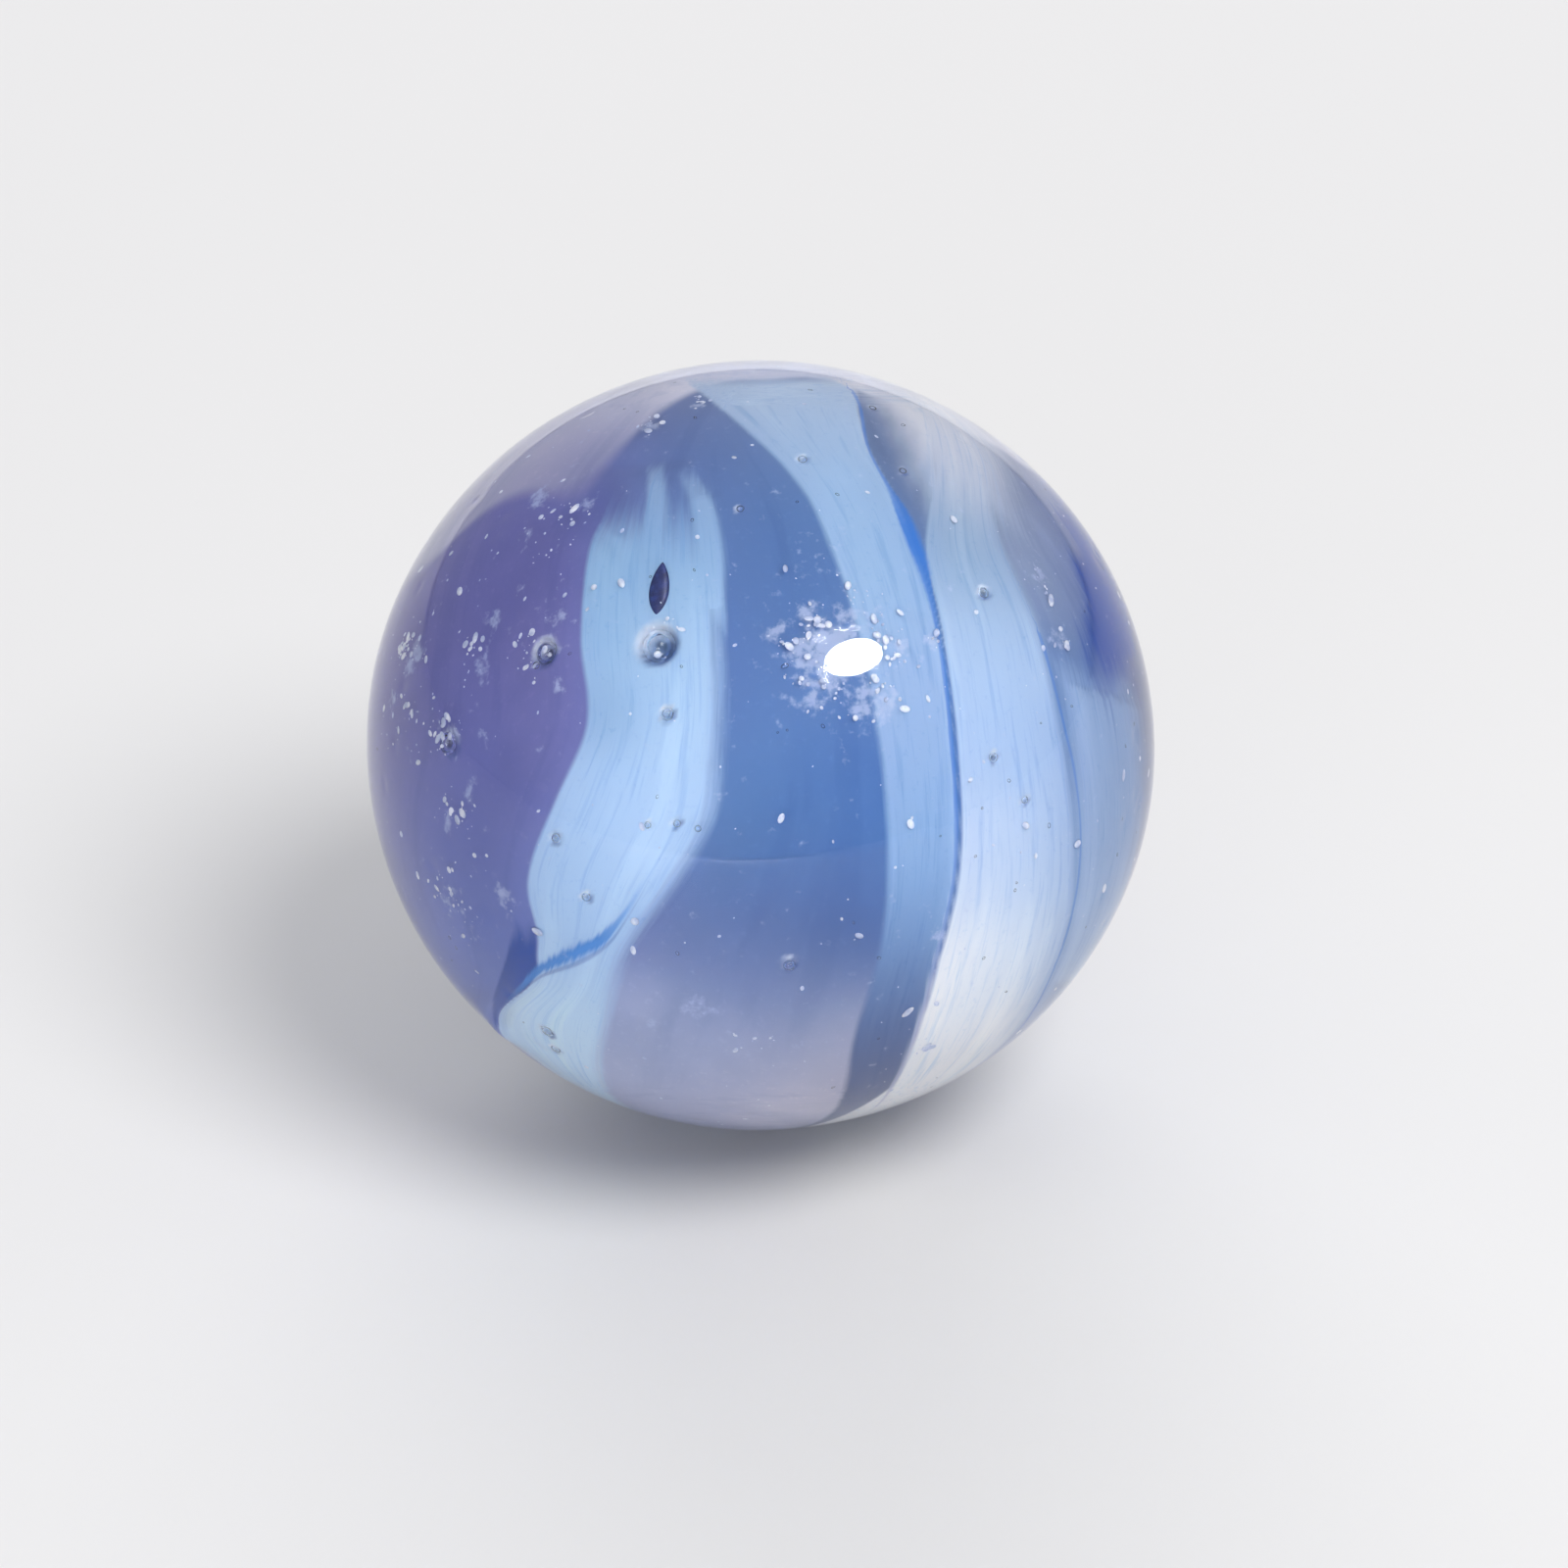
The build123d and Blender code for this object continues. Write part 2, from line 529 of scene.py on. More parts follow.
def makeStreamMaterial():
    material, tree, shader = newMaterial("fusedColourGlass")
    flow = readAttribute(tree, "flow", "Vector")
    edge = readAttribute(tree, "ribbonEdge")
    place = addNode(tree, "ShaderNodeTexCoord").outputs["Object"]

    broadStreaks = noiseNode(tree, stretched(tree, flow, (7, 7, 0.9)), 1.6, 3)
    fineStreaks = noiseNode(tree, stretched(tree, flow, (22, 22, 1.6)), 2.2, 4)
    hairStreaks = noiseNode(tree, stretched(tree, flow, (60, 60, 3)), 2.0, 3)
    clouds = noiseNode(tree, place, 380, 4)
    dust = noiseNode(tree, place, 6500, 3, 0.7)
    patterns = {"broadStreaks": broadStreaks, "fineStreaks": fineStreaks, "hairStreaks": hairStreaks,
                "clouds": clouds, "dust": dust}

    # the ribbon's own fade, teased into streaks along the flow
    tease = centred(tree, fineStreaks, 1.3)
    tease = mathNode(tree, "MULTIPLY_ADD", mathNode(tree, "SUBTRACT", hairStreaks, 0.5), 0.7, tease)
    ribbon = rangeNode(tree, mathNode(tree, "ADD", edge, tease), -1.0, 1.0)

    # the clear tint holds painted glow and shade, the ribbon tint painted light low on the ball
    clear = wash(tree, readAttribute(tree, "clearTintAndGlow", "Color"), patterns, clearWashes)
    pale = wash(tree, readAttribute(tree, "ribbonTintAndLowLight", "Color"), patterns, ribbonWashes)
    colour = mixColour(tree, ribbon, clear, pale)
    deep = mathNode(tree, "ADD", readAttribute(tree, "deepBlue"), centred(tree, fineStreaks, 0.8))
    colour = mixColour(tree, rangeNode(tree, deep, 0.15, 0.85), colour, streamPaint["deepBlue"])
    sides, strengths, bed = (
        addNode(tree, "ShaderNodeSeparateXYZ", None, {0: readAttribute(tree, name, "Vector")})
        for name in ("lines", "lineStrength", "bubbleBedShading"))
    waver = centred(tree, fineStreaks, 1.4)
    for side, drawn in (("X", "lineBlue"), ("Y", "lineBlue"), ("Z", "foldBlue")):
        near = mathNode(tree, "ADD", mathNode(tree, "ABSOLUTE", sides.outputs[side]), waver)
        share = mathNode(tree, "MULTIPLY", rangeNode(tree, near, 0.2, 0.9, 1, 0), strengths.outputs[side])
        colour = mixColour(tree, share, colour, streamPaint[drawn])
    # the dark crease along the lower side of the fold
    crease = mathNode(tree, "ABSOLUTE", mathNode(tree, "SUBTRACT", sides.outputs["Z"], 0.85))
    crease = mathNode(tree, "MULTIPLY", rangeNode(tree, crease, 0.05, 0.3, 0.4, 0), strengths.outputs["Z"])
    colour = mixColour(tree, crease, colour, streamPaint["deepBlue"])

    # soft frosty blotches and the painted glow around the main highlight, then the painted shade and painted
    # light on each bubble's bed
    mottle = centred(tree, noiseNode(tree, place, 3400, 4, 0.62), 2.4)
    frostAndGlow = rangeNode(tree, mathNode(tree, "ADD", readAttribute(tree, "frostAndGlow"), mottle), 0.3, 0.85, 0, 0.68)
    colour = mixColour(tree, frostAndGlow, colour, streamPaint["frostAndGlow"])
    colour = mixColour(tree, bed.outputs["X"], colour, streamPaint["bubbleShadePaint"])
    colour = mixColour(tree, bed.outputs["Y"], colour, streamPaint["bubbleLitPaint"])
    connect(tree, shader, {"Base Color": colour, "Roughness": streamPaint["roughness"],
                           "Specular IOR Level": streamPaint["shine"]})
    return material


glassFinish = {
    "tint": (0.97, 0.98, 1.0), "refraction": 1.5, "polish": 0.012, "scuffRoughness": 0.3,
    "absorb": (0.42, 0.58, 0.92), "absorbDensity": 260.0,
    "bump": 0.35, "bumpDeep": 0.03}


def makeGlassMaterial():
    material, tree, shader = newMaterial("clearBlueGlass")
    place = addNode(tree, "ShaderNodeTexCoord").outputs["Object"]
    scuff = readAttribute(tree, "scuff")
    blotches = noiseNode(tree, place, 2600, 4, 0.65)
    grain = noiseNode(tree, place, 9000, 2)
    scuffed = mathNode(tree, "ADD", scuff, mathNode(tree, "SUBTRACT", blotches, 0.5))
    worn = rangeNode(tree, scuffed, 0.42, 0.62)
    fineWear = rangeNode(tree, noiseNode(tree, place, 5200, 3, 0.7), 0.64, 0.74, 0, 0.22)
    wear = mathNode(tree, "MAXIMUM", worn, fineWear)
    rough = mathNode(tree, "MULTIPLY_ADD", wear, glassFinish["scuffRoughness"], glassFinish["polish"])
    bump = addNode(tree, "ShaderNodeBump", None, {
        "Strength": glassFinish["bump"], "Distance": glassFinish["bumpDeep"] * mm,
        "Height": mathNode(tree, "MULTIPLY", grain, worn)})
    connect(tree, shader, {"Roughness": rough, "Normal": bump.outputs["Normal"],
                           "Base Color": (*glassFinish["tint"], 1), "Transmission Weight": 1.0,
                           "IOR": glassFinish["refraction"]})
    absorb = addNode(tree, "ShaderNodeVolumeAbsorption", None, {
        "Color": (*glassFinish["absorb"], 1), "Density": glassFinish["absorbDensity"]})
    output = shader.outputs["BSDF"].links[0].to_node
    tree.links.new(absorb.outputs["Volume"], output.inputs["Volume"])
    return material


# the fold where the ribbon was sheared and lapped over itself
fold = {"path": [(-45, -69), (-38, -50), (-34, -41), (-31, -32), (-28, -25), (-22, -19), (-14, -14)],
        "width": 0.22, "groove": 0.018, "grooveWidth": 0.12, "lapWidth": 0.16,
        "thick": {"at": 0.5, "reach": 0.2, "least": 0.4, "more": 0.75}, "strength": 0.95,
        "tip": (-46, -70), "tipRise": 0.1, "tipReach": 0.5}

wedge = {"west": [(-60, -82), (-45, -71), (-38, -57), (-33, -49), (-28, -44), (-20, -40)],
         "span": (-47, -44, -33, -22), "soft": 0.12}

# the bulge is a short stretch where the seam swells and darkens
seamLine = {"path": [(66, 35), (50, 25), (35, 26), (19, 27), (0, 28), (-18, 30), (-36, 31),
                     (-50, 35), (-60, 41)],
            "backPath": [(58, 158), (40, 152), (10, 160), (-20, 150), (-46, 141)], "width": 0.1,
            "bulge": {"at": 0.29, "reach": 0.06, "least": 0.75, "more": 2.2},
            "strength": 0.6, "bulgeStrength": 0.35, "fading": (0.55, 0.8), "faded": 0.8}

farLine = {"path": [(16, 46), (5, 48), (-4, 51), (-12, 54), (-25, 59), (-36, 64), (-46, 72)],
           "width": 0.07, "strength": 0.5}

limbPatch = {"place": (24, 71.5), "lean": 0.5, "reach": (16, 12), "edge": (1.45, 0.35), "ragged": 0.14,
             "seed": 3}

# how soft and ragged the milky cap's edge is, and where it is softest
capBlur = {"least": 2, "more": 4, "at": -31, "reach": 9, "ragged": 0.5}
# the ring of shade and light that each bubble throws on its bed
bedShade = {"toRight": 0.55, "toUp": -0.83, "ring": 1.1, "darkWide": 0.24, "lightWide": 0.26, "dark": 0.85}

# soft frosty places, and the painted glow of the lamp's light around the main highlight: latitude, longitude,
# reach in degrees and strength
frostAndGlowPlaces = [
    (12.5, 11, 7.5, 0.85), (15, 2.5, 2.5, 0.6), (19, 7, 3, 0.6), (6, 16, 4, 0.7), (13, 20, 3, 0.55),
    (6, 7, 3, 0.5),
    (13, -32.7, 2.2, 0.85), (11.5, -46, 1.8, 0.8), (12.4, -64, 2.6, 0.9), (18.5, -45.4, 1.8, 0.7),
    (6, -69, 2, 0.6), (0, -51, 2.4, 0.6), (1, -43.4, 2, 0.45), (8.4, -30.2, 2, 0.45), (39, -47, 2.5, 0.6),
    (38, -34, 2, 0.5), (32, -44, 2, 0.4), (17.6, -31.8, 2, 0.6), (-7, -47.6, 1.6, 0.6),
    (-12, -53, 2.4, 0.5),
    (-11, -42.7, 1.5, 0.4), (-22, -42.5, 2, 0.75), (-26, -42.5, 1.6, 0.6), (-25, -58, 5, 0.35),
    (-42, -12, 3, 0.6), (-44, -21, 2, 0.5), (26, 8, 6, 0.25), (15, 50, 2.4, 0.7), (25, 51, 2.6, 0.6),
    (14.5, 26, 1.4, 0.7), (-28, 29, 1.5, 0.6), (54.9, -28.9, 1.8, 0.8), (60, -19, 1.4, 0.7),
    (20, 120, 4, 0.7), (-15, 165, 5, 0.6), (35, -130, 4, 0.7), (-40, -140, 5, 0.5), (-28, 92, 3, 0.7),
    (6, -122, 6, 0.45), (30, 172, 5, 0.5), (-8, 140, 4, 0.6), (58, 110, 5, 0.5),
]


def makeStreams():
    directions, quads = roundGrid(streamBody["cells"])
    latitude, longitude = places(directions)
    edge, height = ribbonFields(
        latitude, longitude, streamBody["ragged"] * soften(directions, 4, streamBody["seed"] + 1))
    lift = smoothStep(-1, 1, height)
    swell = soften(directions, 3.2, streamBody["seed"]) * streamBody["clearSwell"]
    depth = (streamBody["clearDepth"] + swell) * (1 - lift) + streamBody["ribbonDepth"] * lift

    seamAway, seamAlong = pathDistance(directions, seamLine["path"])
    swelling = seamLine["bulge"]
    bulge = bellCurve(seamAlong, swelling["at"], swelling["reach"])
    seamWide = seamLine["width"] * (swelling["least"] + swelling["more"] * bulge)
    backAway = pathDistance(directions, seamLine["backPath"])[0]
    seamAway = np.where(np.abs(seamAway) < np.abs(backAway), seamAway, backAway)
    farAway = pathDistance(directions, farLine["path"])[0]
    foldAway, foldAlong = pathDistance(directions, fold["path"])
    thick = fold["thick"]
    foldWide = fold["width"] * (thick["least"]
                                + thick["more"] * bellCurve(foldAlong, thick["at"], thick["reach"]))
    depth += (streamBody["foldDepth"] * bellCurve(foldAway, 0, fold["lapWidth"])
              * (1 - smoothStep(0.6, 1, foldAlong)))
    for pocket in pockets():
        away = np.linalg.norm(directions - np.array(direction(*pocket["place"])), axis=1) * ballWidth / mm
        dish = pocket["deep"] * (1 - smoothStep(0.5, 1.25, away / pocket["wide"]))
        depth = np.maximum(depth, dish)

    radius = skinRadius(directions) - depth * mm
    piece = makePiece("colourStreams", directions * radius[:, None], quads, makeStreamMaterial())
    wedgeWest, wedgeEast = edgeLine(wedge["west"]), edgeLine(streams["leftRibbon"]["west"])
    arc = ballWidth / mm * degree * np.cos(latitude * degree)
    inWedge = np.minimum(longitude - wedgeWest(latitude), wedgeEast(latitude) - longitude) * arc
    low, fullLow, fullHigh, high = wedge["span"]
    deep = (smoothStep(-1, 1, inWedge / wedge["soft"]) * smoothStep(low, fullLow, latitude)
            * (1 - smoothStep(fullHigh, high, latitude)))
    keep(piece.data, "ribbonEdge", edge)
    # each drawn line is kept as its signed distance over its own width
    keep(piece.data, "lines", np.stack([seamAway / seamWide, farAway / farLine["width"],
                                        foldAway / np.maximum(foldWide, 0.03)], 1))
    upward = latitude - limbPatch["place"][0]
    aside = longitude - limbPatch["place"][1] - upward * limbPatch["lean"]
    fromPatch = np.hypot(upward / limbPatch["reach"][0], aside / limbPatch["reach"][1])
    patch = smoothStep(*limbPatch["edge"],
                       fromPatch + limbPatch["ragged"] * soften(directions, 12, limbPatch["seed"]))
    keep(piece.data, "deepBlue", np.maximum(deep, patch))
    keep(piece.data, "flow", flowField(latitude, longitude))
    cap = edgeLine(capLine)(longitude)
    blur = capBlur["least"] + capBlur["more"] * bellCurve(longitude, capBlur["at"], capBlur["reach"])
    ragged = capBlur["ragged"] * soften(directions, 7, streamBody["seed"] + 2)
    inCap = smoothStep(-1, 1, (latitude - cap) / blur + ragged)[:, None]
    # between the ribbons: tint with painted glow and shade, and under the cap painted top light
    keep(piece.data, "clearTintAndGlow", blendTints(latitude, longitude, clearTintsAndGlow) * (1 - inCap)
         + blendTints(latitude, longitude, capTintsAndTopLight) * inCap)
    pastSeam = (longitude - edgeLine(seamLine["path"])(latitude)) * arc
    east = (smoothStep(-0.06, 0.06, pastSeam) * (longitude < streamBody["backSeam"]))[:, None]
    # ribbon tints, near white low down with painted light
    keep(piece.data, "ribbonTintAndLowLight", blendTints(latitude, longitude, ribbonTintsAndLowLight) * (1 - east)
         + blendTints(latitude, longitude, eastTintsAndLowLight) * east)
    seamStrength = ((seamLine["strength"] + seamLine["bulgeStrength"] * bulge)
                    * (1 - seamLine["faded"] * smoothStep(*seamLine["fading"], seamAlong)))
    farStrength = np.full(len(arc), farLine["strength"])
    foldStrength = (fold["strength"] * smoothStep(0.06, 0.24, foldAlong)
                    * (1 - smoothStep(0.6, 0.95, foldAlong)))
    keep(piece.data, "lineStrength", np.stack([seamStrength, farStrength, foldStrength], 1))
    # frosty places and the painted glow around the main highlight
    keep(piece.data, "frostAndGlow", spread(directions, frostAndGlowPlaces))
    # painted shade on the lower right of each bubble's bed and a painted light crescent on its upper left
    beds = np.zeros((len(arc), 3))
    shadeWay = np.array(streamRight * bedShade["toRight"] + streamUp * bedShade["toUp"])
    for bubble in bubbles:
        offset = (directions - np.array(direction(*bubble["place"]))) * ballWidth / mm / bubble["radius"]
        away = np.linalg.norm(offset, axis=1)
        shaded = smoothStep(-0.9, 0.9, offset @ shadeWay)
        dark = bedShade["dark"] * bellCurve(away, bedShade["ring"], bedShade["darkWide"]) * shaded
        light = bellCurve(away, bedShade["ring"], bedShade["lightWide"]) * (1 - shaded) ** 1.2
        beds[:, 0] = np.maximum(beds[:, 0], dark)
        beds[:, 1] = np.maximum(beds[:, 1], light)
    keep(piece.data, "bubbleBedShading", beds)
    return piece


# bubbles: place on the ball, radius and depth of the centre, in mm
bubbles = [{"place": place, "radius": radius, "depth": depth} for place, radius, depth in [
    ((14, -15), 0.34, 0.44), ((4, -13), 0.13, 0.2), ((0, -51), 0.22, 0.3), ((22, 37), 0.12, 0.17),
    ((-2, 35), 0.1, 0.15), ((-8, 41), 0.08, 0.13), ((-33, 5), 0.12, 0.2), ((13, -33), 0.24, 0.34),
    ((11, -34), 0.08, 0.12), ((-46, -50), 0.15, 0.2), ((-50, -53), 0.12, 0.17),
    ((-22, -27), 0.1, 0.14), ((-11.5, -16), 0.07, 0.12), ((-11.3, -11.7), 0.08, 0.12),
    ((-12, -8.7), 0.07, 0.12), ((46, 9), 0.1, 0.14), ((43.6, 30), 0.08, 0.13),
    ((36, -3.4), 0.08, 0.14), ((-13.4, -30.6), 0.1, 0.14), ((59.6, 34.9), 0.08, 0.13),
    ((11, 178), 0.2, 0.28), ((-24, -118), 0.14, 0.2), ((24, 104), 0.16, 0.22),
    ((-6, -152), 0.1, 0.15),
]]


def pockets():
    # hollows in the opaque ribbons that leave room for the bubbles lying in them
    return [{"place": b["place"], "wide": b["radius"] * 1.15, "deep": b["depth"] + b["radius"] * 1.12}
            for b in bubbles]


def makeAirMaterial():
    material, tree, shader = newMaterial("trappedAir")
    place = addNode(tree, "ShaderNodeTexCoord").outputs["Object"]
    haze = rangeNode(tree, noiseNode(tree, place, 6000, 2), 0.45, 0.7, 0.0, 0.06)
    connect(tree, shader, {"Roughness": haze, "Base Color": (1, 1, 1, 1), "Transmission Weight": 1.0,
                           "IOR": 1 / glassFinish["refraction"]})
    return material


def finishShell(name, shell, material):
    mesh = bpy.data.meshes.new(name)
    shell.to_mesh(mesh)
    shell.free()
    mesh.polygons.foreach_set("use_smooth", np.ones(len(mesh.polygons), bool))
    mesh.materials.append(material)
    piece = bpy.data.objects.new(name, mesh)
    bpy.context.collection.objects.link(piece)
    return piece


def makeBubbles():
    shell = bmesh.new()
    for bubble in bubbles:
        centre = surfacePoint(*bubble["place"], bubble["depth"])
        made = bmesh.ops.create_icosphere(shell, subdivisions=4, radius=bubble["radius"] * mm)
        bmesh.ops.translate(shell, verts=made["verts"], vec=centre)
    return finishShell("airBubbles", shell, makeAirMaterial())


# the glass skin, with its dents, pits, fold and fine wear
skin = {"cells": 126, "unevenness": 0.012, "seed": 5, "pitCount": 170, "pitSeed": 23,
        "smoothPlace": (13, 13), "smoothReach": 9, "chipless": 3.2, "leastBruised": 0.016,
        "rough": {"place": (0, -58), "more": 2.2, "reach": 0.5}, "seeds": {"vary": 0.8, "seed": 31}}


# worn places: latitude, longitude, reach in degrees and how much of the polish is gone
wornPlaces = [
    (14, 7, 4, 0.42), (17, 13, 4.5, 0.4), (11, 18, 4, 0.4), (9, 9, 4, 0.42), (18, 20, 3, 0.32),
    (14, -65, 3, 0.42), (14, -52, 3, 0.3), (12, -33, 3, 0.3), (30, -36, 5, 0.26), (-8, -50, 6, 0.24),
    (-40, 12, 6, 0.22), (24, 50, 3, 0.3), (-48, 39, 3, 0.3), (40, -30, 6, 0.2), (-20, -58, 7, 0.24),
    (20, 120, 8, 0.3), (-15, 165, 9, 0.28), (35, -130, 8, 0.28), (-40, -140, 8, 0.26), (-30, 90, 7, 0.26),
]


def makeSkin():
    directions, quads = roundGrid(skin["cells"])
    latitude, longitude = places(directions)
    rise = soften(directions, 3.5, skin["seed"]) * skin["unevenness"]
    foldAway, foldAlong = pathDistance(directions, fold["path"])
    shown = 1 - smoothStep(0.55, 1, foldAlong)
    rise -= fold["groove"] * np.exp(-(foldAway / fold["grooveWidth"]) ** 2) * shown
    tip = np.linalg.norm(directions - np.array(direction(*fold["tip"])), axis=1) * ballWidth / mm
    rise += fold["tipRise"] * bellCurve(tip, 0, fold["tipReach"])
    rng = np.random.default_rng(skin["pitSeed"])
    pitWays = rng.normal(size=(skin["pitCount"], 3))
    pitWays /= np.linalg.norm(pitWays, axis=1)[:, None]
    smoothPlace = np.array(direction(*skin["smoothPlace"]))
    for way in pitWays[pitWays @ smoothPlace < math.cos(skin["smoothReach"] * degree)]:
        wide, deep = rng.uniform(0.09, 0.2), rng.uniform(0.01, 0.03)
        away = np.linalg.norm(directions - way, axis=1) * ballWidth / mm
        rise -= deep * np.exp(-(away / wide) ** 2)
    radius = skinRadius(directions) + (rise - skin["unevenness"]) * mm
    piece = makePiece("glassBody", directions * radius[:, None], quads, makeGlassMaterial())
    keep(piece.data, "scuff", spread(directions, wornPlaces))
    rough = skin["rough"]
    fromRough = np.linalg.norm(directions - np.array(direction(*rough["place"])), axis=1)
    # where the white chips go: bruises, and painted glints near the highlight and bubbles
    bruisedAndGlinting = (spread(directions, bruiseAndGlintPlaces, skin["leastBruised"])
               * (1 + rough["more"] * bellCurve(fromRough, 0, rough["reach"])))
    seeded = np.clip(1 + skin["seeds"]["vary"] * soften(directions, 5, skin["seeds"]["seed"]), 0.1, 2.5)
    chipless = directions @ smoothPlace > math.cos(skin["chipless"] * degree)
    keep(piece.data, "bruisedAndGlinting", np.where(chipless, 0, bruisedAndGlinting))
    keep(piece.data, "seeded", seeded)
    return piece


# bruises, white chips for painted glints, and seed bubbles strewn over the skin
# the thickly strewn places, many of them painted glints around the main highlight and on the bubbles:
# latitude, longitude, reach in degrees and share of the most
bruiseAndGlintPlaces = [
    (13, 5, 3.0, 1.0), (17.5, 9, 3, 1.0), (20, 15, 3, 0.7), (8, 17, 3.6, 1.0), (7, 10, 3, 1.0),
    (12, 19, 3, 1.0), (16, 19, 3, 0.7), (14.5, 26, 1.3, 1.3), (16.4, -15.8, 0.9, 1.2),
    (12.6, -14.2, 0.7, 1.0), (0, -51, 1.5, 0.9),
    (3, -26, 0.8, 1.0), (14, -65, 2.4, 1.0), (13, -46, 1.5, 0.9), (10, -46.5, 1.2, 0.8),
    (13, -35, 2.4, 0.7), (17, -14, 1.4, 0.9), (15, 51, 1.6, 1.0), (25, 48, 2.0, 0.9), (21, 50, 1.5, 0.8),
    (61, -19, 1.5, 2.0), (54.5, -29, 1.7, 1.6), (-49, 39, 2.4, 1.0), (-47, -2, 3.5, 0.35),
    (-10, -48, 3.0, 0.5), (2, -48, 2.0, 0.4), (33, -38, 5, 0.3), (-24, -55, 5, 0.3), (6, -60, 8, 0.12),
    (26, 8, 4, 0.22), (20, 120, 4, 0.6), (-15, 165, 5, 0.5), (35, -130, 4, 0.6), (-40, -140, 5, 0.4),
    (-28, 92, 3, 0.6), (5, -170, 2, 0.9), (10, -100, 3, 0.6), (60, 150, 4, 0.5),
]

# white grains: bruises, and painted glints where thickly strewn
bruisesAndGlints = {"Most Per Area": 4.5e7, "Smallest": 0.012 * mm, "Largest": 0.085 * mm, "Flatness": 0.25,
           "Depth": 0.035 * mm, "Seed": 7}
seedBubbles = {"Most Per Area": 2.4e5, "Smallest": 0.025 * mm, "Largest": 0.05 * mm, "Flatness": 1.0,
               "Depth": 0.07 * mm, "Seed": 19}


def strewTree(name, shareName, material):
    # small grains over the faces of a mesh, thickest where the named share is highest
    tree = bpy.data.node_groups.new(name, "GeometryNodeTree")
    face = tree.interface
    face.new_socket("Geometry", in_out="INPUT", socket_type="NodeSocketGeometry")
    for size in ("Most Per Area", "Smallest", "Largest", "Flatness", "Depth"):
        face.new_socket(size, in_out="INPUT", socket_type="NodeSocketFloat")
    face.new_socket("Seed", in_out="INPUT", socket_type="NodeSocketInt")
    face.new_socket("Geometry", in_out="OUTPUT", socket_type="NodeSocketGeometry")
    given = tree.nodes.new("NodeGroupInput")
    share = addNode(tree, "GeometryNodeInputNamedAttribute", {"data_type": "FLOAT"}, {"Name": shareName})
    thickness = mathNode(tree, "MULTIPLY", share.outputs["Attribute"], given.outputs["Most Per Area"])
    strewn = addNode(tree, "GeometryNodeDistributePointsOnFaces", None,
                     {"Mesh": given.outputs["Geometry"], "Density": thickness, "Seed": given.outputs["Seed"]})
    inward = addNode(tree, "ShaderNodeVectorMath", {"operation": "SCALE"},
                     {0: strewn.outputs["Normal"],
                      "Scale": mathNode(tree, "MULTIPLY", given.outputs["Depth"], -1.0)})
    sunk = addNode(tree, "GeometryNodeSetPosition", None,
                   {"Geometry": strewn.outputs["Points"], "Offset": inward.outputs["Vector"]})
    grain = addNode(tree, "GeometryNodeMeshIcoSphere", None, {"Radius": 1.0, "Subdivisions": 2})
    # most grains are small and a few are large
    draw = addNode(tree, "FunctionNodeRandomValue", {"data_type": "FLOAT"},
                   {"Min": 0.0, "Max": 1.0, "Seed": given.outputs["Seed"]})
    spread = mathNode(tree, "SUBTRACT", given.outputs["Largest"], given.outputs["Smallest"])
    size = mathNode(tree, "MULTIPLY_ADD", mathNode(tree, "POWER", draw.outputs["Value"], 3.5), spread,
                    given.outputs["Smallest"])
    longer = addNode(tree, "FunctionNodeRandomValue", {"data_type": "FLOAT"},
                     {"Min": 0.6, "Max": 1.9, "Seed": 3})
    width = mathNode(tree, "MULTIPLY", size, longer.outputs["Value"])
    height = mathNode(tree, "MULTIPLY", size, given.outputs["Flatness"])
    scale = addNode(tree, "ShaderNodeCombineXYZ", None,
                    {"X": width, "Y": size, "Z": height})
    spin = addNode(tree, "FunctionNodeRandomValue", {"data_type": "FLOAT"},
                   {"Min": 0.0, "Max": 6.283, "Seed": 5})
    about = addNode(tree, "ShaderNodeCombineXYZ", None, {"Z": spin.outputs["Value"]})
    turned = addNode(tree, "FunctionNodeRotateRotation", {"rotation_space": "LOCAL"},
                     {"Rotation": strewn.outputs["Rotation"], "Rotate By": about.outputs[0]})
    placed = addNode(tree, "GeometryNodeInstanceOnPoints", None,
                     {"Points": sunk.outputs["Geometry"], "Instance": grain.outputs["Mesh"],
                      "Rotation": turned.outputs["Rotation"], "Scale": scale.outputs["Vector"]})
    whole = addNode(tree, "GeometryNodeRealizeInstances", None, {"Geometry": placed.outputs["Instances"]})
    smooth = addNode(tree, "GeometryNodeSetShadeSmooth", None, {"Geometry": whole.outputs["Geometry"]})
    coated = addNode(tree, "GeometryNodeSetMaterial", None,
                     {"Geometry": smooth.outputs["Geometry"], "Material": material})
    result = tree.nodes.new("NodeGroupOutput")
    tree.links.new(coated.outputs["Geometry"], result.inputs["Geometry"])
    return tree


def strew(name, over, tree, settings):
    # runs the tree over a copy of a piece and keeps only what it strews, as a plain mesh
    bed = bpy.data.objects.new(name + "Bed", over.data.copy())
    bpy.context.collection.objects.link(bed)
    modifier = bed.modifiers.new("strew", "NODES")
    modifier.node_group = tree
    for socket in tree.interface.items_tree:
        if socket.in_out == "INPUT" and socket.name in settings:
            modifier[socket.identifier] = settings[socket.name]
    ready = bed.evaluated_get(bpy.context.evaluated_depsgraph_get())
    mesh = bpy.data.meshes.new_from_object(ready)
    mesh.name = name
    bpy.data.objects.remove(bed)
    piece = bpy.data.objects.new(name, mesh)
    bpy.context.collection.objects.link(piece)
    print(name, len(mesh.polygons), "faces")
    return piece


# white chips: partly real bruises, partly painted glints
chipAndGlintPaint = {"light": paint(246, 248, 255), "dull": paint(196, 206, 232), "roughness": 0.3}


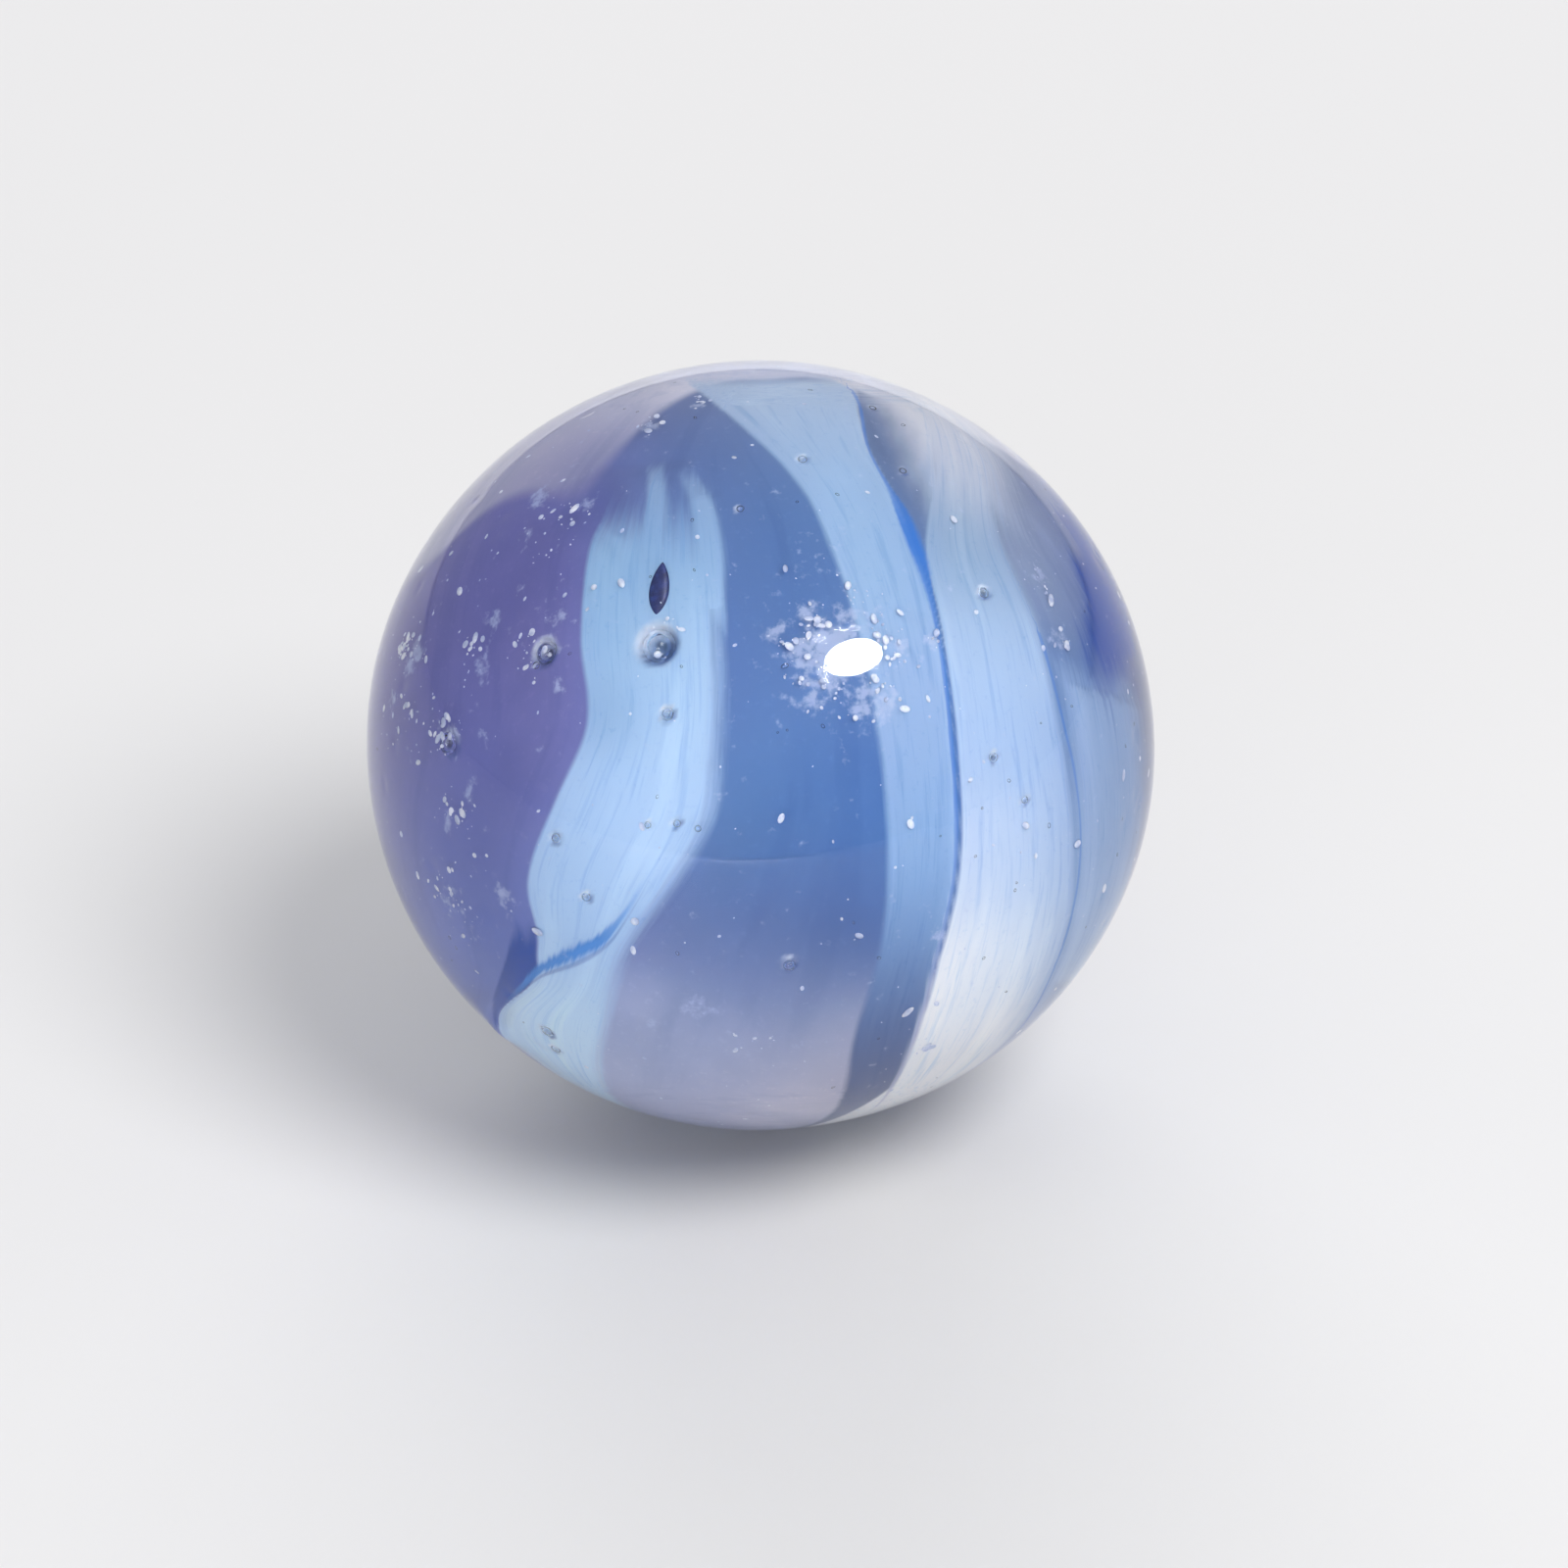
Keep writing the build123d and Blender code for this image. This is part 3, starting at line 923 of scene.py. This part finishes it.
def makeChipAndGlintMaterial():
    material, tree, shader = newMaterial("bruisedGlassAndGlints")
    place = addNode(tree, "ShaderNodeTexCoord").outputs["Object"]
    share = rangeNode(tree, noiseNode(tree, place, 5000, 2), 0.35, 0.65)
    connect(tree, shader, {"Base Color": mixColour(tree, share, chipAndGlintPaint["dull"], chipAndGlintPaint["light"]),
                           "Roughness": chipAndGlintPaint["roughness"]})
    return material


# dark seed of unmelted colour above the large bubble
darkSeed = {"place": (22.5, -15.5), "depth": 0.12, "halfWidth": 0.2, "halfLength": 0.56,
            "halfThickness": 0.07, "dark": paint(14, 28, 88), "light": paint(34, 54, 124), "roughness": 0.4}


def makeDarkSeed():
    material, tree, shader = newMaterial("navySeed")
    place = addNode(tree, "ShaderNodeTexCoord").outputs["Object"]
    share = rangeNode(tree, noiseNode(tree, place, 5000, 3), 0.35, 0.65)
    colour = mixColour(tree, share, darkSeed["dark"], darkSeed["light"])
    connect(tree, shader, {"Base Color": colour, "Roughness": darkSeed["roughness"]})
    shell = bmesh.new()
    bmesh.ops.create_icosphere(shell, subdivisions=4, radius=1)
    centre = surfacePoint(*darkSeed["place"], darkSeed["depth"])
    outward = direction(*darkSeed["place"])
    along = (streamUp - outward * streamUp.dot(outward)).normalized()
    across = along.cross(outward)
    for vert in shell.verts:
        x, y, z = vert.co
        taper = math.sqrt(max(1 - y * y, 0)) ** 0.6 * (1 - 0.18 * y)
        vert.co = centre + (across * x * darkSeed["halfWidth"] * taper + along * y * darkSeed["halfLength"]
                            + outward * z * darkSeed["halfThickness"]) * mm
    bmesh.ops.recalc_face_normals(shell, faces=shell.faces)
    return finishShell("darkSeed", shell, material)


# floor, light and camera
stage = {"floorSize": 1.2, "floor": (0.74, 0.73, 0.72), "mottle": (0.69, 0.68, 0.67),
         "floorRoughness": 0.7, "sky": (0.92, 0.94, 1.0), "skyStrength": 0.47}


def makeFloor():
    half = stage["floorSize"] / 2
    material, tree, shader = newMaterial("paleFloor")
    place = addNode(tree, "ShaderNodeTexCoord").outputs["Object"]
    mottle = rangeNode(tree, noiseNode(tree, place, 60, 2), 0.3, 0.7, 0.0, 0.04)
    colour = mixColour(tree, mottle, stage["floor"], stage["mottle"])
    connect(tree, shader, {"Base Color": colour, "Roughness": stage["floorRoughness"]})
    level = cadBox[0][2]
    mesh = bpy.data.meshes.new("studioFloor")
    mesh.from_pydata([(-half, -half, level), (half, -half, level), (half, half, level), (-half, half, level)],
                     [], [(0, 1, 2, 3)])
    mesh.materials.append(material)
    floor = bpy.data.objects.new("studioFloor", mesh)
    bpy.context.collection.objects.link(floor)


lamps = {
    "highlight": {"toward": (0.42, -0.447, 0.785),
        "distance": 0.14, "size": (0.041, 0.024), "power": 0.09, "turn": -8},
    "softKey": {"toward": (0.42, -0.447, 0.785),
        "distance": 0.3, "size": (0.16, 0.16), "power": 0.63, "turn": 0},
    "frontFill": {"toward": (-0.3, -0.95, 0.09),
        "distance": 0.3, "size": (0.34, 0.05), "power": 0.58, "turn": 0},
    "backFill": {"toward": (-0.1, 0.92, 0.4),
        "distance": 0.3, "size": (0.3, 0.16), "power": 0.5, "turn": 0},
}


def makeLamps():
    for name, lamp in lamps.items():
        light = bpy.data.lights.new(name, "AREA")
        light.shape = "ELLIPSE"
        light.size, light.size_y = lamp["size"]
        light.energy = lamp["power"]
        holder = bpy.data.objects.new(name, light)
        toward = Vector(lamp["toward"]).normalized()
        holder.location = toward * lamp["distance"]
        holder.rotation_euler = toward.to_track_quat("Z", "Y").to_euler()
        holder.rotation_euler.rotate_axis("Z", lamp["turn"] * degree)
        bpy.context.collection.objects.link(holder)
        if name == "highlight":
            holder.visible_diffuse = False
        else:
            holder.visible_glossy = False
    world = bpy.data.worlds.new("studioWorld")
    bpy.context.scene.world = world
    world.use_nodes = True
    connect(world.node_tree, world.node_tree.nodes["Background"],
            {"Color": (*stage["sky"], 1), "Strength": stage["skyStrength"]})


camera = {"distance": 0.13, "lens": 145.2, "elevation": 30, "aimRight": 0.00048, "aimUp": -0.0008}


def makeCamera():
    back = Vector((0, -math.cos(camera["elevation"] * degree), math.sin(camera["elevation"] * degree)))
    up = Vector((0, math.sin(camera["elevation"] * degree), math.cos(camera["elevation"] * degree)))
    view = bpy.data.cameras.new("mainView")
    view.sensor_width = 36
    view.lens = camera["lens"]
    view.clip_start = 0.01
    holder = bpy.data.objects.new("mainView", view)
    holder.location = streamRight * camera["aimRight"] + up * camera["aimUp"] + back * camera["distance"]
    holder.rotation_euler = back.to_track_quat("Z", "Y").to_euler()
    bpy.context.collection.objects.link(holder)
    bpy.context.scene.camera = holder


glassBody = makeSkin()
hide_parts("marble")
print("skin of the ball made")
colourStreams = makeStreams()
print("colour streams made")
airBubbles = makeBubbles()
navySeed = makeDarkSeed()
print("bubbles and seed made")
chipAndGlintMaterial, airMaterial = makeChipAndGlintMaterial(), bpy.data.materials["trappedAir"]
bruiseAndGlintTree = strewTree("strewBruisesAndGlints", "bruisedAndGlinting", chipAndGlintMaterial)
surfaceBruisesAndGlints = strew("surfaceBruisesAndGlints", glassBody, bruiseAndGlintTree, bruisesAndGlints)
seedTree = strewTree("strewSeeds", "seeded", airMaterial)
fineSeeds = strew("fineSeeds", glassBody, seedTree, seedBubbles)
for piece in (glassBody, colourStreams, airBubbles, navySeed, surfaceBruisesAndGlints, fineSeeds):
    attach(piece, "root")
makeFloor()
makeLamps()
makeCamera()
bpy.context.scene.view_settings.view_transform = "Standard"
